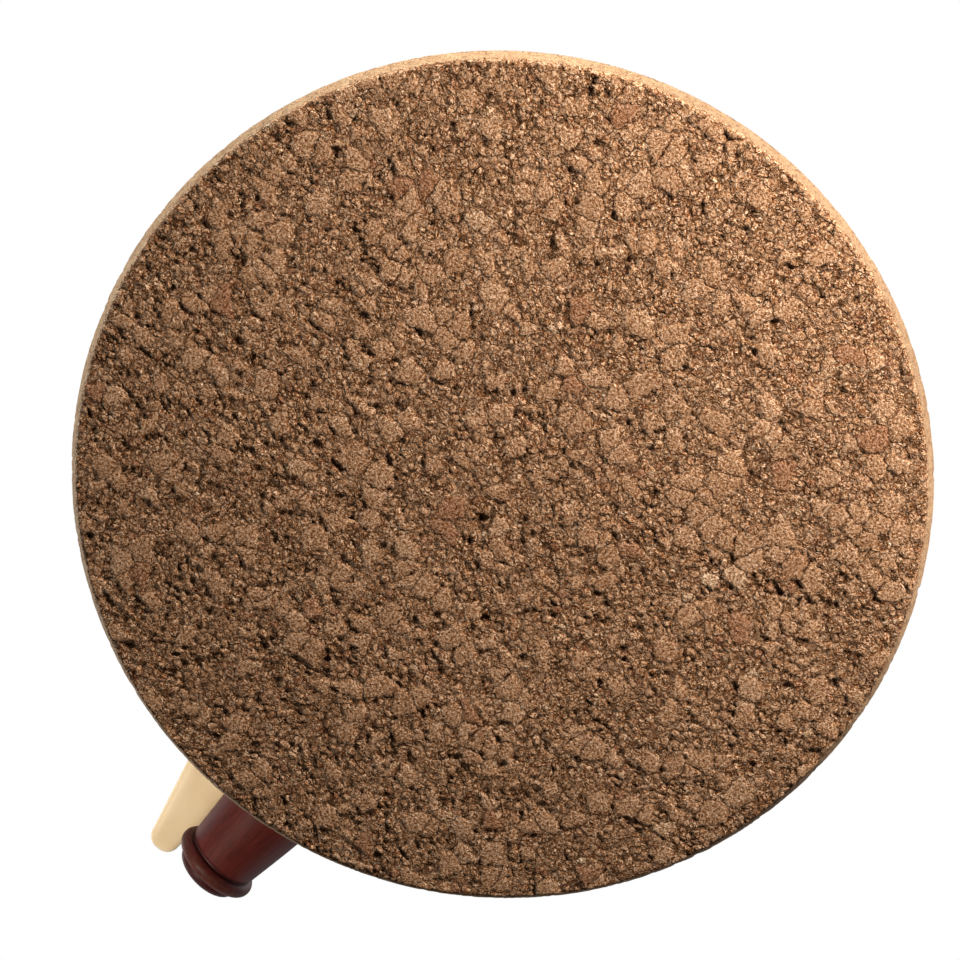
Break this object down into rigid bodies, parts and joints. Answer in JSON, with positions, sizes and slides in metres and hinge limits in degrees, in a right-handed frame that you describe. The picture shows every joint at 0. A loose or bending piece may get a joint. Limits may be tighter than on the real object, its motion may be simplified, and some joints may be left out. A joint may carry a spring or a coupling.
{
  "type": "round sanding block",
  "caption": "Round sanding block: bevelled cork pad on a plywood board, with a turned grip that tilts on a hinge and a cam lever that locks it.",
  "frame": {"origin": "centre of the cork pad's working face", "axes": "+Z away from the working face towards the handle, +X along the folded grip, +Y towards the cam lever's side"},
  "size_m": [0.2465, 0.2, 0.0631],
  "materials": {
    "cork": "matte",
    "plywood": "satin",
    "cast_bracket": "satin",
    "turned_aluminium": "satin",
    "plated_steel": "satin",
    "brass": "satin",
    "fibre": "matte",
    "bumper_rubber": "matte",
    "maroon_lacquer": "gloss",
    "cream_plastic": "satin"
  },
  "bodies": {
    "pad": {"cork_pad": "cork", "backing_board": "plywood", "hinge_bracket": "cast_bracket", "bracket_screw_1": "plated_steel", "bracket_screw_2": "plated_steel", "bracket_screw_3": "plated_steel", "bracket_screw_4": "plated_steel", "rest_bumper": "bumper_rubber", "friction_washer_1": "fibre", "friction_washer_2": "fibre"},
    "arm": {"hinge_barrel": "turned_aluminium", "hinge_bolt": "plated_steel", "key_pin": "plated_steel", "nut_washer": "plated_steel", "adjuster_nut": "plated_steel", "cam_washer": "brass", "tang_rod": "plated_steel", "jam_nut": "plated_steel", "ferrule": "brass", "grip": "maroon_lacquer"},
    "lever": {"cam_lever": "cream_plastic", "cam_pin": "plated_steel"}
  },
  "joints": [
    {"name": "grip_tilt", "type": "hinge", "parent": "pad", "child": "arm", "pos_m": [0, 0, 0.045], "axis": [0, -1, 0], "range_deg": [0, 85]},
    {"name": "lever_cam", "type": "hinge", "parent": "arm", "child": "lever", "pos_m": [0, 0.0212, 0.045], "axis": [0, 0, 1], "range_deg": [0, 100]}
  ]
}
